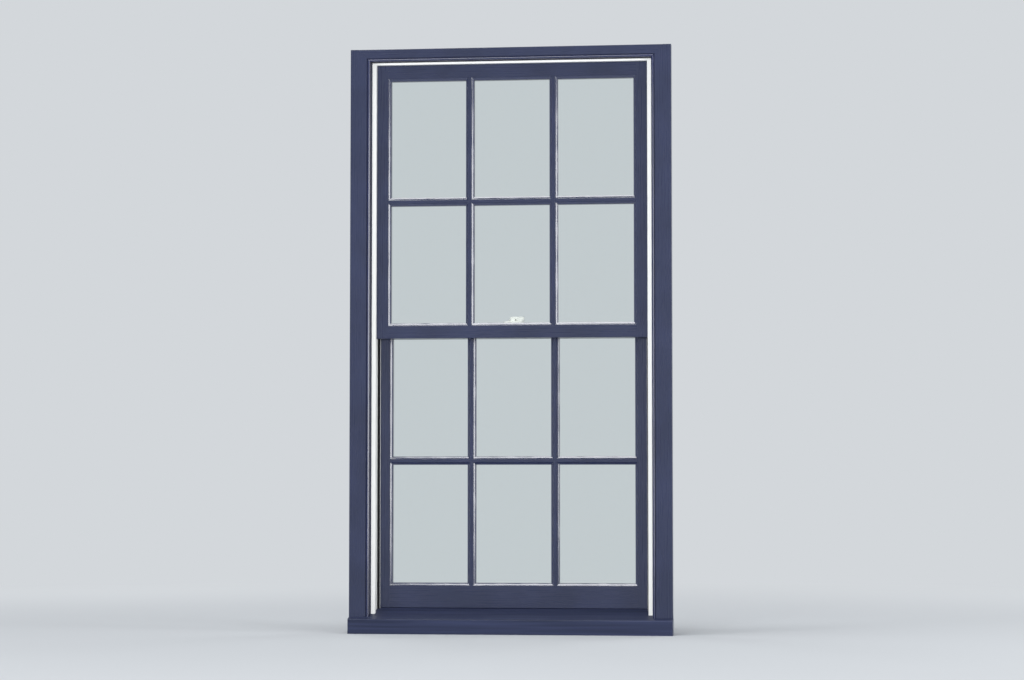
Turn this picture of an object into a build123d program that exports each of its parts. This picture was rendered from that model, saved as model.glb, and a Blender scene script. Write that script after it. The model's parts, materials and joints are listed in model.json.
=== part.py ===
from build123d import *
from math import cos, radians, sin, tan
import os

# Double-hung sash window with six panes over six, painted wood in vinyl jamb liners.
# Millimetres. +X is right seen from outside, -Y is the street side, +Z is up.
# The sill's flat underside is Z = 0, and the frame is centred on X and Y.

# Glass and glazing bars
PANE_COLUMNS = 3
PANE_ROWS = 2
PANE_WIDTH = 240.0  # between sight lines
PANE_HEIGHT = 373.0
GLASS_THICKNESS = 3.0
GLASS_EDGE_GAP = 1.5  # pane edge to the bottom of its rebate
BAR_WIDTH = 26.0

# Sash members, widths measured from the outer edge to the sight line
SASH_THICKNESS = 35.0
STILE_WIDTH = 47.0
TOP_RAIL = 52.0
CHECK_RAIL = 48.0
BOTTOM_RAIL = 78.0
REBATE_WIDTH = 8.5
PUTTY_DEPTH = 7.0
PUTTY_ARRIS = 0.5  # flat left at the face where the putty line starts
OVOLO_RADIUS = 7.0
QUIRK = 1.5
TENON_THICKNESS = 12.0
TENON_SHOULDER = 20.0  # wood left between a rail's outer edge and its tenon
BAR_TENON = 10.0
EASED_EDGE = 1.2  # chamfer on the long edges that a hand or the weather meets
CHECK_GAP = 1.2  # between the two bevelled check rails
CHECK_BEVEL = 4.0

# Vinyl jamb liners, one hollow extrusion on each side
SIDE_CLEARANCE = 0.8  # sash edge to liner
SASH_GAP = 2.0  # sash face to liner, front and back
VINYL_WALL = 1.6
NOSE_DEPTH = 16.0
NOSE_LAP = 2.5  # how far the nose covers the sash edge
PARTING_RIB = 6.0
RIB_LAP = 9.0
POCKET_DEPTH = 16.6
POCKET_HALF = 11.0
SLOT_HALF = 4.0
HEAD_SPACE = 8.0  # upper sash to the head jamb
HEAD_NOSE_LAP = 2.0
HEAD_RIB_LAP = 7.0

# Wood frame
JAMB_THICKNESS = 20.0
HOUSING = 8.0  # depth of the housings in the sill and the side jambs
CASING_WIDTH = 62.0
CASING_THICKNESS = 32.0
HEAD_CASING_WIDTH = 38.0
CASING_REVEAL = 13.0  # casing edge to sash edge, at the sides
HEAD_REVEAL = 5.0
BEAD_RADIUS = 4.0
BEAD_QUIRK = 2.0
STOP_THICKNESS = 16.0
STOP_LAP = 6.0
STOP_OVOLO = 8.0
SILL_NOSE = 24.0  # sill nose in front of the casing
SILL_NOSE_HEIGHT = 46.0
SILL_SLOPE = 14.0  # degrees
SILL_GAP = 2.0  # bottom rail to sill
SILL_EDGE_RADIUS = 4.0
DRIP_SETBACK = 12.0
DRIP_WIDTH = 6.0
DRIP_DEPTH = 5.0

# Weatherstrips
STRIP_CLEARANCE = 0.3
SILL_STRIP_WIDTH = 8.0
SILL_STRIP_ROOT = 4.0
CHECK_STRIP_HEIGHT = 4.0
CHECK_STRIP_ROOT = 3.0
STRIP_END_GAP = 18.0  # strip end to sash edge, clear of the balance shoe
HEAD_STRIP_WIDTH = 12.0

# Spiral balances in the liner pockets
TUBE_RADIUS = 7.0
TUBE_WALL = 1.0
TUBE_TOP_GAP = 22.0
UPPER_TUBE_GAP = 15.0  # upper shoe to the tube above it, sash closed
LOWER_TUBE_GAP = 50.0  # lower shoe to the tube above it, sash fully raised
TUBE_PLUG = 12.0
TAB_WIDTH = 10.0
TAB_THICKNESS = 3.0
TAB_HEIGHT = 16.0
BUSH_LENGTH = 12.0
ROD_WIDTH = 5.0  # the rod is a flat steel strip
ROD_THICKNESS = 1.6
ROD_CLEARANCE = 0.05
ROD_ENGAGEMENT = 25.0  # rod left above the bush when it is drawn out fully
TRAVEL_MARGIN = 32.0  # sash travel is this much less than the height of its panes
ROD_SEAT = 20.0  # depth of the rod in its shoe
SHOE_RISE = 10.0  # shoe above the sash's lower edge
SHOE_HEIGHT = 34.0
SHOE_CLEARANCE = 0.5
SHOE_ARM_HEIGHT = 6.0
SHOE_ARM_REACH = 12.0  # into the notch of the stile
NOTCH_CLEARANCE = 1.0

# Cam lock and keeper
LOCK_LENGTH = 70.0
LOCK_DEPTH = 24.0
LOCK_HEIGHT = 8.5
LOCK_EDGE = 2.0  # bevel round the top of the base
LOCK_TOE = 2.5  # height of the base where its ramp ends
LOCK_SEAT = 1.5  # base left under the screw heads
WELL_RADIUS = 4.1
LOCK_PIVOT_SETBACK = 7.0  # pivot behind the lower sash's outer face
LOCK_SCREW_X = 26.0
SHAFT_RADIUS = 3.0
SHAFT_CLEARANCE = 0.05
SHAFT_END_GAP = 0.5
CAM_LIFT = 0.5  # play between base and cam
CAM_THICKNESS = 5.0
CAM_HUB_RADIUS = 9.0
CAM_HOOK_WIDTH = 5.0
CAM_HOOK_GAP = 1.2
CAM_HOOK_START = 57.0  # degrees from +X, handle pointing to +X
CAM_HOOK_END = 135.0
CAM_WEB_START = 50.0
CAM_WEB_END = 63.0
HANDLE_HUB_RADIUS = 11.0
HANDLE_REACH = 30.0
HANDLE_TIP_RADIUS = 5.0
HANDLE_THICKNESS = 8.0
HANDLE_EDGE = 1.2
GRIP_GAP = 0.3  # cam's hub to the finger grip beside it
KEEPER_LENGTH = 60.0
KEEPER_DEPTH = 20.0
KEEPER_EDGE = 1.5  # keeper plate past the upper sash's inner face
KEEPER_THICKNESS = 4.0
KEEPER_SCREW_X = 21.0
LIP_THICKNESS = 3.0
LIP_HEIGHT = 13.5
LIP_HALF_ANGLE = 20.0

# Sash lifts on the room side of the bottom rail
LIFT_LENGTH = 60.0
LIFT_HEIGHT = 27.0
LIFT_PLATE = 2.5
LIFT_REACH = 15.0
LIFT_LIP = 10.0
LIFT_CORNER = 5.0
LIFT_RISE = 32.0  # plate above the sash's lower edge
LIFT_SCREW_X = 21.0
LIFT_SCREW_RISE = 9.0

# Wood screws, with flat heads let in flush or with pan heads
SCREW_HEAD_RADIUS = 3.8
SCREW_HEAD_SIDES = 12
SCREW_HEAD_HEIGHT = 2.0
SCREW_SHANK_RADIUS = 1.7
SCREW_SHANK_SIDES = 6
SCREW_LENGTH = 19.0

# Widths, measured from the middle of the window
glass_seat = PUTTY_DEPTH + GLASS_THICKNESS
column_pitch = PANE_WIDTH + BAR_WIDTH
row_pitch = PANE_HEIGHT + BAR_WIDTH
bar_middles = [(column - (PANE_COLUMNS - 2) / 2) * column_pitch for column in range(PANE_COLUMNS - 1)]
daylight_half = (PANE_COLUMNS * column_pitch - BAR_WIDTH) / 2
sash_half = daylight_half + STILE_WIDTH
liner_face = sash_half + SIDE_CLEARANCE
pocket_face = liner_face + VINYL_WALL
pocket_back = pocket_face + POCKET_DEPTH
jamb_face = pocket_back + VINYL_WALL
jamb_outer = jamb_face + JAMB_THICKNESS
casing_edge = sash_half + CASING_REVEAL
frame_half = casing_edge + CASING_WIDTH
nose_edge = sash_half - NOSE_LAP
rib_edge = sash_half - RIB_LAP
rail_half = daylight_half + REBATE_WIDTH
apron_half = rib_edge - SIDE_CLEARANCE
stop_edge = sash_half - STOP_LAP
stop_width = jamb_face - stop_edge
tube_x = (pocket_face + pocket_back) / 2

# Depths, from the sill nose towards the room
track_depth = SASH_THICKNESS + 2 * SASH_GAP
jamb_depth = NOSE_DEPTH + 2 * track_depth + PARTING_RIB + STOP_THICKNESS
frame_depth = SILL_NOSE + CASING_THICKNESS + jamb_depth
nose_y = -frame_depth / 2
casing_y = nose_y + SILL_NOSE
jamb_y = casing_y + CASING_THICKNESS
room_y = jamb_y + jamb_depth
upper_track = jamb_y + NOSE_DEPTH
upper_y = upper_track + SASH_GAP
rib_y = upper_track + track_depth
lower_track = rib_y + PARTING_RIB
lower_y = lower_track + SASH_GAP
stop_y = lower_track + track_depth
upper_inner_y = upper_y + SASH_THICKNESS
lower_inner_y = lower_y + SASH_THICKNESS
meeting_y = (upper_inner_y + lower_y) / 2
upper_track_mid = upper_y + SASH_THICKNESS / 2
lower_track_mid = lower_y + SASH_THICKNESS / 2


def sill_top(y):
    """Height of the weathered sill at depth y."""
    return SILL_NOSE_HEIGHT + (y - nose_y) * tan(radians(SILL_SLOPE))


# Heights
panes_height = PANE_ROWS * row_pitch - BAR_WIDTH
lower_z = sill_top(lower_y) + SILL_GAP
lower_sight = lower_z + BOTTOM_RAIL
lower_top = lower_sight + panes_height + CHECK_RAIL
upper_z = lower_top - CHECK_RAIL
upper_sight = lower_top
upper_top = upper_sight + panes_height + TOP_RAIL
head_z = upper_top + HEAD_SPACE
head_top = head_z + JAMB_THICKNESS
head_edge = upper_top + HEAD_REVEAL
balance_top = head_z - TUBE_TOP_GAP
travel = panes_height - TRAVEL_MARGIN
upper_tube_z = upper_z + SHOE_RISE + SHOE_HEIGHT + UPPER_TUBE_GAP
lower_tube_z = lower_z + SHOE_RISE + SHOE_HEIGHT + travel + LOWER_TUBE_GAP
upper_rod_top = upper_tube_z + BUSH_LENGTH + ROD_ENGAGEMENT + travel
lower_rod_top = lower_tube_z + BUSH_LENGTH + ROD_ENGAGEMENT


def block(x0, x1, y0, y1, z0, z1):
    """A rectangular solid between two corners."""
    return Pos(x0, y0, z0) * Box(x1 - x0, y1 - y0, z1 - z0, align=(Align.MIN, Align.MIN, Align.MIN))


def mirrored(shape):
    """The same piece on the other side of the window."""
    return mirror(shape, about=Plane.YZ)


def run(section, start, across, length):
    """Extrudes a section whose first axis lies along 'across' and whose second is depth, +Y."""
    along = Vector(*across).cross(Vector(0, 1, 0))
    return extrude(Plane(origin=start, x_dir=across, z_dir=along) * section, length)


def depth_prism(points, x0, x1):
    """Extrudes an outline of (depth, height) points from x0 to x1."""
    return extrude(Plane.YZ.offset(x0) * make_face(Polyline(*points, close=True)), x1 - x0)


def front_prism(points, y0, y1):
    """Extrudes an outline of (x, height) points from y0 to y1."""
    return extrude(Plane.XZ.offset(-y1) * make_face(Polyline(*points, close=True)), y1 - y0)


def ovolo(edge, base, radius, side):
    """A convex quarter round from an edge at depth base inwards; side says which way the edge faces."""
    centre = edge - side * radius
    bulge = radius * cos(radians(45))
    return ThreePointArc(
        (edge, base), (centre + side * bulge, base + bulge), (centre, base + radius)
    )


def edge_section(width):
    """Stile or rail: rebate for glass outside, ovolo inside, back edge at 0."""
    shoulder = width - REBATE_WIDTH
    quirk_depth = SASH_THICKNESS - QUIRK
    return make_face(
        Polyline(
            (shoulder, quirk_depth),
            (shoulder, SASH_THICKNESS),
            (EASED_EDGE, SASH_THICKNESS),
            (0, SASH_THICKNESS - EASED_EDGE),
            (0, 0),
            (shoulder, 0),
            (shoulder, glass_seat),
            (width, glass_seat),
            (width, quirk_depth - OVOLO_RADIUS),
        )
        + ovolo(width, quirk_depth - OVOLO_RADIUS, OVOLO_RADIUS, 1)
        + Line((width - OVOLO_RADIUS, quirk_depth), (shoulder, quirk_depth))
    )


def bar_section():
    """Glazing bar: a tongue between two panes outside, an ovolo on both sides inside."""
    half = BAR_WIDTH / 2
    side = edge_section(half)
    core = Pos(0, SASH_THICKNESS / 2) * Rectangle(2 * EASED_EDGE, SASH_THICKNESS)
    return side + core + mirror(side, about=Plane.YZ)


def window_grid(sight_z):
    """Centres of the panes of a sash, column by column."""
    first_x = -(PANE_COLUMNS - 1) * column_pitch / 2
    return [
        (first_x + column * column_pitch, sight_z + PANE_HEIGHT / 2 + row * row_pitch)
        for column in range(PANE_COLUMNS)
        for row in range(PANE_ROWS)
    ]


def sash_stile(y, z0, z1):
    """Left stile, before its mortises are cut."""
    return run(edge_section(STILE_WIDTH), (-sash_half, y, z0), (1, 0, 0), z1 - z0)


def shoe_notch(y, z0):
    """Notch at the foot of the left stile, where the balance shoe lifts the sash."""
    middle = y + SASH_THICKNESS / 2
    half = SLOT_HALF + NOTCH_CLEARANCE
    top = z0 + SHOE_RISE + SHOE_ARM_HEIGHT
    return block(-sash_half, SHOE_ARM_REACH - sash_half, middle - half, middle + half, z0, top)


def rail_tenons(y, z0, z1):
    """Both through tenons of a rail, from the stile's outer edge to its sight line."""
    y0 = y + glass_seat
    left = block(-sash_half, -daylight_half, y0, y0 + TENON_THICKNESS, z0, z1)
    return left + mirrored(left)


def upright_bars(y, sight_z):
    """Glazing bars that run from rail to rail, before they are scribed to the rails."""
    z0 = sight_z - REBATE_WIDTH
    length = panes_height + 2 * REBATE_WIDTH
    return [run(bar_section(), (x, y, z0), (1, 0, 0), length) for x in bar_middles]


def upright_tenons(y, sight_z):
    """Stub tenons of the upright bars, in one block from rail to rail."""
    half = BAR_WIDTH / 2 - REBATE_WIDTH
    reach = REBATE_WIDTH + BAR_TENON
    y0 = y + glass_seat
    return [
        block(x - half, x + half, y0, y0 + TENON_THICKNESS, sight_z - reach, sight_z + panes_height + reach)
        for x in bar_middles
    ]


def cross_bars(y, sight_z):
    """Short bars between the uprights, one in each column and row gap."""
    bars = []
    for row in range(1, PANE_ROWS):
        z = sight_z + row * row_pitch - BAR_WIDTH / 2
        for column in range(PANE_COLUMNS):
            x = (column - (PANE_COLUMNS - 1) / 2) * column_pitch
            reach = PANE_WIDTH / 2 + REBATE_WIDTH
            bars.append(run(bar_section(), (x + reach, y, z), (0, 0, 1), 2 * reach))
    return bars


def cross_tenons(y, sight_z):
    """Stub tenons that hold the outermost cross bars in the left stile."""
    half = BAR_WIDTH / 2 - REBATE_WIDTH
    y0 = y + glass_seat
    x0 = REBATE_WIDTH + BAR_TENON
    blocks = []
    for row in range(1, PANE_ROWS):
        z = sight_z + row * row_pitch - BAR_WIDTH / 2
        blocks.append(
            block(-daylight_half - x0, -daylight_half, y0, y0 + TENON_THICKNESS, z - half, z + half)
        )
    return blocks


def pane(x, y, z):
    """One sheet of glass against the rebate."""
    lap = 2 * (REBATE_WIDTH - GLASS_EDGE_GAP)
    middle = y + PUTTY_DEPTH + GLASS_THICKNESS / 2
    return Pos(x, middle, z) * Box(PANE_WIDTH + lap, GLASS_THICKNESS, PANE_HEIGHT + lap)


def putty_ring(x, y, z):
    """Mitred putty line of one pane: a frame cut by a pyramid that widens to the street."""
    outer_width = PANE_WIDTH + 2 * REBATE_WIDTH
    outer_height = PANE_HEIGHT + 2 * REBATE_WIDTH
    frame = Pos(x, y + PUTTY_DEPTH / 2, z) * Box(outer_width, PUTTY_DEPTH, outer_height)
    face = Plane(origin=(x, y, z), x_dir=(1, 0, 0), z_dir=(0, -1, 0))
    back = face.offset(-PUTTY_DEPTH)
    wide = Rectangle(outer_width - 2 * PUTTY_ARRIS, outer_height - 2 * PUTTY_ARRIS)
    opening = loft([face * wide, back * Rectangle(PANE_WIDTH, PANE_HEIGHT)])
    return frame - opening


def plain_rail(y, z, across, width):
    """Rail of a sash between the shoulders of its stiles, from its outer edge at height z."""
    start_x = rail_half * -across
    return run(edge_section(width), (-start_x, y, z), (0, 0, across), 2 * rail_half)


def upper_check_rail():
    """Meeting rail of the upper sash: flat top for the keeper, apron bevelled away upwards."""
    z1 = upper_z + CHECK_RAIL
    shoulder = z1 - REBATE_WIDTH
    middle = meeting_y - CHECK_GAP / 2
    rail = [
        (upper_y, upper_z + EASED_EDGE),
        (upper_y + EASED_EDGE, upper_z),
        (upper_inner_y, upper_z),
        (upper_inner_y, z1),
        (upper_y + glass_seat, z1),
        (upper_y + glass_seat, shoulder),
        (upper_y, shoulder),
    ]
    apron = [
        (upper_inner_y, upper_z),
        (middle + CHECK_BEVEL / 2, upper_z),
        (middle - CHECK_BEVEL / 2, z1),
        (upper_inner_y, z1),
    ]
    return depth_prism(rail, -rail_half, rail_half) + depth_prism(apron, -apron_half, apron_half)


def lower_check_rail():
    """Meeting rail of the lower sash: an ovolo below, and an apron with the matching bevel."""
    middle = meeting_y + CHECK_GAP / 2
    shoulder = lower_top - CHECK_RAIL + REBATE_WIDTH
    slope = CHECK_BEVEL / CHECK_RAIL
    apron = [
        (lower_y, lower_top),
        (middle - CHECK_BEVEL / 2, lower_top),
        (middle + CHECK_BEVEL / 2 - slope * REBATE_WIDTH, shoulder),
        (lower_y, shoulder),
    ]
    return plain_rail(lower_y, lower_top, -1, CHECK_RAIL) + depth_prism(apron, -apron_half, apron_half)


def screw(head_start, head_end):
    """Screw that points down from the face Z = 0, with its head between two heights."""
    head = extrude(RegularPolygon(SCREW_HEAD_RADIUS, SCREW_HEAD_SIDES), head_end - head_start)
    shank = extrude(RegularPolygon(SCREW_SHANK_RADIUS, SCREW_SHANK_SIDES), -SCREW_LENGTH)
    return Pos(0, 0, head_start) * head + shank


def placed(shape, places, turn=Rot(0, 0, 0)):
    """Copies of a shape at the given points, turned to point into what they hold."""
    return [Pos(*place) * turn * shape for place in places]


def cut(shape, tools):
    """The shape less every tool in the list."""
    for tool in tools:
        shape = shape - tool
    return shape


flush_screw = screw(-SCREW_HEAD_HEIGHT, 0)
pan_screw = screw(0, SCREW_HEAD_HEIGHT)
lock_y = lower_y + LOCK_PIVOT_SETBACK
cam_z = lower_top + LOCK_HEIGHT + CAM_LIFT
handle_z = cam_z + CAM_THICKNESS
lip_radius = lock_y - upper_inner_y
hook_radius = lip_radius + LIP_THICKNESS + CAM_HOOK_GAP


def sector(radius_in, radius_out, start, end):
    """A ring sector about the lock's pivot, from one angle to another."""
    def point(radius, angle):
        return (radius * cos(radians(angle)), radius * sin(radians(angle)))

    middle = (start + end) / 2
    outline = (
        ThreePointArc(point(radius_out, start), point(radius_out, middle), point(radius_out, end))
        + Line(point(radius_out, end), point(radius_in, end))
        + ThreePointArc(point(radius_in, end), point(radius_in, middle), point(radius_in, start))
        + Line(point(radius_in, start), point(radius_out, start))
    )
    return make_face(outline)


def lock_base(screws):
    """Low bevelled casting on the lower check rail, with one end run out in a ramp and two screw wells."""
    base = extrude(SlotOverall(LOCK_LENGTH, LOCK_DEPTH), LOCK_HEIGHT)
    base = chamfer(base.faces().sort_by(Axis.Z)[-1].edges(), LOCK_EDGE)
    ramped = [
        (-LOCK_LENGTH / 2, 0),
        (LOCK_LENGTH / 2, 0),
        (LOCK_LENGTH / 2, LOCK_HEIGHT),
        (-HANDLE_HUB_RADIUS, LOCK_HEIGHT),
        (-LOCK_LENGTH / 2, LOCK_TOE),
    ]
    base = base & front_prism(ramped, -LOCK_DEPTH, LOCK_DEPTH)
    bore = Cylinder(SHAFT_RADIUS + SHAFT_CLEARANCE, 3 * LOCK_HEIGHT)
    well = Pos(0, 0, LOCK_SEAT) * extrude(Circle(WELL_RADIUS), LOCK_HEIGHT)
    wells = [Pos(x, 0, 0) * well for x in (-LOCK_SCREW_X, LOCK_SCREW_X)]
    return cut(Pos(0, lock_y, lower_top) * cut(base - bore, wells), screws)


def lock_cam():
    """Hooked cam that swings behind the keeper's lip."""
    plan = Circle(CAM_HUB_RADIUS)
    plan += sector(hook_radius, hook_radius + CAM_HOOK_WIDTH, CAM_HOOK_START, CAM_HOOK_END)
    plan += sector(CAM_HUB_RADIUS / 2, hook_radius + CAM_HOOK_WIDTH, CAM_WEB_START, CAM_WEB_END)
    plan -= Circle(SHAFT_RADIUS)
    return Pos(0, lock_y, cam_z) * extrude(plan, CAM_THICKNESS)


def lock_lever():
    """Handle and shaft in one piece: a flat hub and a finger grip that reaches down beside the cam."""
    hub = Circle(HANDLE_HUB_RADIUS)
    plan = make_hull((hub + Pos(HANDLE_REACH, 0) * Circle(HANDLE_TIP_RADIUS)).edges())
    handle = extrude(plan, HANDLE_THICKNESS)
    handle = chamfer(handle.faces().sort_by(Axis.Z)[-1].edges(), HANDLE_EDGE)
    beside_cam = block(
        CAM_HUB_RADIUS + GRIP_GAP, HANDLE_REACH + HANDLE_TIP_RADIUS, -HANDLE_HUB_RADIUS, HANDLE_HUB_RADIUS,
        -CAM_THICKNESS, 0,
    )
    grip = extrude(plan, -CAM_THICKNESS) & beside_cam
    shaft_length = CAM_THICKNESS + CAM_LIFT + LOCK_HEIGHT - SHAFT_END_GAP
    shaft = Cylinder(SHAFT_RADIUS, shaft_length, align=(Align.CENTER, Align.CENTER, Align.MAX))
    return Pos(0, lock_y, handle_z) * (handle + grip + shaft)


def keeper(screws):
    """Plate on the upper check rail with a curved lip for the cam."""
    middle = upper_inner_y + KEEPER_EDGE - KEEPER_DEPTH / 2
    plan = SlotOverall(KEEPER_LENGTH, KEEPER_DEPTH)
    plate = Pos(0, middle, upper_sight) * extrude(plan, KEEPER_THICKNESS)
    lip_plan = sector(
        lip_radius, lip_radius + LIP_THICKNESS, 270 - LIP_HALF_ANGLE, 270 + LIP_HALF_ANGLE
    )
    lip = Pos(0, lock_y, upper_sight) * extrude(lip_plan, LIP_HEIGHT)
    return cut(plate + lip, screws)


def sash_lift(x, screws):
    """Hook lift: a plate on the rail with a shelf that turns down at its edge."""
    z0 = lower_z + LIFT_RISE
    z1 = z0 + LIFT_HEIGHT
    y0 = lower_inner_y
    y1 = y0 + LIFT_REACH
    outline = [
        (y0, z0),
        (y0 + LIFT_PLATE, z0),
        (y0 + LIFT_PLATE, z1 - LIFT_PLATE),
        (y1 - LIFT_PLATE, z1 - LIFT_PLATE),
        (y1 - LIFT_PLATE, z1 - LIFT_LIP),
        (y1, z1 - LIFT_LIP),
        (y1, z1),
        (y0, z1),
    ]
    lift = depth_prism(outline, x - LIFT_LENGTH / 2, x + LIFT_LENGTH / 2)
    outer = lift.edges().filter_by(Axis.X).sort_by_distance((x, y1, z1))[0]
    lift = fillet(outer, LIFT_CORNER)
    inside = (x, y1 - LIFT_PLATE, z1 - LIFT_PLATE)
    inner = lift.edges().filter_by(Axis.X).sort_by_distance(inside)[0]
    return cut(fillet(inner, LIFT_CORNER - LIFT_PLATE), screws)


def balance_shoe(y, z):
    """Left shoe: it slides in the pocket and reaches through the slot under the stile."""
    z0 = z + SHOE_RISE
    half = POCKET_HALF - SHOE_CLEARANCE
    body = block(
        -pocket_back + SHOE_CLEARANCE, -pocket_face - SHOE_CLEARANCE, y - half, y + half,
        z0, z0 + SHOE_HEIGHT,
    )
    arm_half = SLOT_HALF - SHOE_CLEARANCE
    arm = block(
        -tube_x, -sash_half + SHOE_ARM_REACH, y - arm_half, y + arm_half, z0, z0 + SHOE_ARM_HEIGHT
    )
    seat = Pos(-tube_x, y, z0 + SHOE_HEIGHT) * Box(ROD_THICKNESS, ROD_WIDTH, 2 * ROD_SEAT)
    return body + arm - seat


def balance_rod(y, z, top):
    """Left rod, seated in its shoe."""
    start = z + SHOE_RISE + SHOE_HEIGHT - ROD_SEAT
    return Pos(-tube_x, y, start) * extrude(Rectangle(ROD_THICKNESS, ROD_WIDTH), top - start)


def balance_tube(y, z):
    """Left tube with its closed end and the flat tab that is screwed to the jamb."""
    tube = Pos(-tube_x, y, z) * extrude(Circle(TUBE_RADIUS), balance_top - z)
    bore = Pos(-tube_x, y, z) * extrude(Circle(TUBE_RADIUS - TUBE_WALL), balance_top - TUBE_PLUG - z)
    tab = block(
        -pocket_back, TAB_THICKNESS - pocket_back, y - TAB_WIDTH / 2, y + TAB_WIDTH / 2,
        balance_top - TUBE_PLUG, balance_top + TAB_HEIGHT,
    )
    return tube - bore + tab


def balance_bush(y, z):
    """Left nylon bush whose slot guides the rod in the tube's lower end."""
    slot = Rectangle(ROD_THICKNESS + 2 * ROD_CLEARANCE, ROD_WIDTH + 2 * ROD_CLEARANCE)
    return Pos(-tube_x, y, z) * extrude(Circle(TUBE_RADIUS - TUBE_WALL) - slot, BUSH_LENGTH)


def jamb_liner(screws):
    """Left liner: nose, two slotted tracks with pockets behind, parting rib."""
    def area(x0, x1, y0, y1):
        return Pos(-(x0 + x1) / 2, (y0 + y1) / 2) * Rectangle(x1 - x0, y1 - y0)

    def hollow(x0, y0, y1):
        inside = area(x0 + VINYL_WALL, pocket_back, y0 + VINYL_WALL, y1 - VINYL_WALL)
        return area(x0, jamb_face, y0, y1) - inside

    section = area(pocket_back, jamb_face, jamb_y, stop_y)
    section += hollow(nose_edge, jamb_y, upper_track)
    section += hollow(rib_edge, rib_y, lower_track)
    section += area(liner_face, jamb_face, stop_y - VINYL_WALL, stop_y)
    for start, middle in ((upper_track, upper_track_mid), (lower_track, lower_track_mid)):
        section += area(liner_face, pocket_face, start, start + track_depth)
        section -= area(liner_face, pocket_face, middle - SLOT_HALF, middle + SLOT_HALF)
        for side in (-1, 1):
            wall = middle + side * (POCKET_HALF + VINYL_WALL / 2)
            section += area(pocket_face, pocket_back, wall - VINYL_WALL / 2, wall + VINYL_WALL / 2)
    liner = extrude(Plane.XY.offset(SILL_NOSE_HEIGHT) * section, head_z - SILL_NOSE_HEIGHT)
    return cut(liner, [sill_blank] + screws)


def head_liner():
    """Liner strip under the head jamb: nose, web and parting rib."""
    z0 = upper_top - HEAD_NOSE_LAP
    nose = block(-nose_edge, nose_edge, jamb_y, upper_track, z0, head_z)
    nose -= block(
        -nose_edge, nose_edge, jamb_y + VINYL_WALL, upper_track - VINYL_WALL,
        z0 + VINYL_WALL, head_z - VINYL_WALL,
    )
    web = block(-nose_edge, nose_edge, upper_track, stop_y, head_z - VINYL_WALL, head_z)
    rib = block(-rib_edge, rib_edge, rib_y, lower_track, upper_top - HEAD_RIB_LAP, head_z)
    web -= block(-nose_edge, -rib_edge, rib_y, lower_track, z0, head_z)
    web -= block(rib_edge, nose_edge, rib_y, lower_track, z0, head_z)
    return nose + web + rib


def casing_section(width):
    """Flat casing with a quirked bead on the edge towards the sash."""
    bead_end = 2 * BEAD_RADIUS
    quirk_end = bead_end + BEAD_QUIRK
    return make_face(
        ThreePointArc((0, BEAD_RADIUS), (BEAD_RADIUS, 0), (bead_end, BEAD_RADIUS))
        + Polyline(
            (bead_end, BEAD_RADIUS),
            (quirk_end, BEAD_RADIUS),
            (quirk_end, 0),
            (width - EASED_EDGE, 0),
            (width, EASED_EDGE),
            (width, CASING_THICKNESS),
            (0, CASING_THICKNESS),
            (0, BEAD_RADIUS),
        )
    )


def stop_section():
    """Inner stop with an ovolo on its room edge."""
    round_base = STOP_THICKNESS - QUIRK - STOP_OVOLO
    shoulder = STOP_OVOLO + QUIRK
    return make_face(
        Polyline(
            (STOP_OVOLO, STOP_THICKNESS - QUIRK),
            (shoulder, STOP_THICKNESS - QUIRK),
            (shoulder, STOP_THICKNESS),
            (stop_width, STOP_THICKNESS),
            (stop_width, 0),
            (0, 0),
            (0, round_base),
        )
        + ovolo(0, round_base, STOP_OVOLO, -1)
    )


def mitred_trim(side_section, head_section, half, z, width, y, thickness):
    """Side and head pieces of a trim, mitred from the inner corner outwards."""
    z1 = z + width
    mitre = [(-half, z), (half, z), (half + width, z1), (-half - width, z1)]
    corner = front_prism(mitre, y, y + thickness)
    side = run(side_section, (-half, y, z1), (-1, 0, 0), z1 - SILL_NOSE_HEIGHT)
    head = run(head_section, (half + width, y, z), (0, 0, 1), 2 * (half + width))
    return side - corner - sill_blank, head & corner


def wood_sill():
    """Weathered sill with a rounded nose, a drip groove and horns, before it is housed."""
    outline = [
        (nose_y, 0),
        (room_y, 0),
        (room_y, sill_top(room_y)),
        (nose_y, SILL_NOSE_HEIGHT),
    ]
    sill = depth_prism(outline, -frame_half, frame_half)
    nose = sill.edges().filter_by(Axis.X).group_by(Axis.Y)[0].sort_by(Axis.Z)[-1]
    sill = fillet(nose, SILL_EDGE_RADIUS)
    drip_y = nose_y + DRIP_SETBACK
    sill -= block(-frame_half, frame_half, drip_y, drip_y + DRIP_WIDTH, 0, DRIP_DEPTH)
    behind_horn = block(-frame_half, -jamb_outer, jamb_y, room_y, 0, sill_top(room_y))
    return sill - behind_horn - mirrored(behind_horn)


def side_jamb():
    """Left jamb, housed in the sill, before the head jamb is let in."""
    lowered_sill = Pos(0, 0, -HOUSING) * sill_blank
    z0 = SILL_NOSE_HEIGHT - HOUSING
    return block(-jamb_outer, -jamb_face, jamb_y, room_y, z0, head_top) - lowered_sill


def sill_strip():
    """Bulb strip in the bottom rail, just clear of the sill."""
    y0 = lower_track_mid - SILL_STRIP_WIDTH / 2
    y1 = lower_track_mid + SILL_STRIP_WIDTH / 2
    top = sill_top(y1) + SILL_GAP + SILL_STRIP_ROOT
    outline = [
        (y0, sill_top(y0) + STRIP_CLEARANCE),
        (y1, sill_top(y1) + STRIP_CLEARANCE),
        (y1, top),
        (y0, top),
    ]
    return depth_prism(outline, STRIP_END_GAP - sash_half, sash_half - STRIP_END_GAP)


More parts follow.
